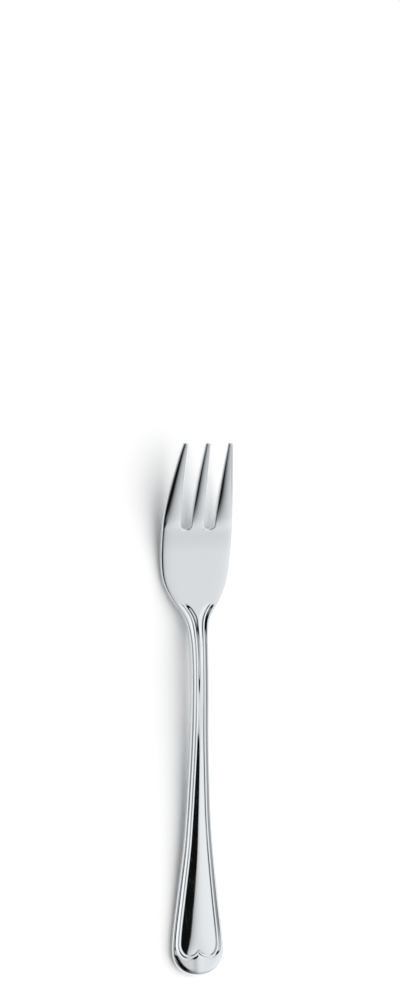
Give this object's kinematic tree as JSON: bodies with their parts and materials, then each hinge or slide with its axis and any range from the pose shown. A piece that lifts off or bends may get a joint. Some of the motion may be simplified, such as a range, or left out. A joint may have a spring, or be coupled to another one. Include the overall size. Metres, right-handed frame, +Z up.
{
  "type": "pastry fork",
  "caption": "Short table fork for cakes and pastry, with tapered tines, a rounded head, an arched stem and a thread-bordered grip.",
  "frame": {"origin": "on the table, under the middle of the fork's length and width", "axes": "+X across the fork to the right, +Y from the grip to the points of the tines, +Z up from the table"},
  "size_m": [0.021, 0.15, 0.0136],
  "materials": {
    "steel": "mirror-polished stainless steel"
  },
  "bodies": {
    "root": {"left_tine": "steel", "middle_tine": "steel", "right_tine": "steel", "head": "steel", "neck": "steel", "stem": "steel", "grip": "steel"}
  },
  "joints": []
}
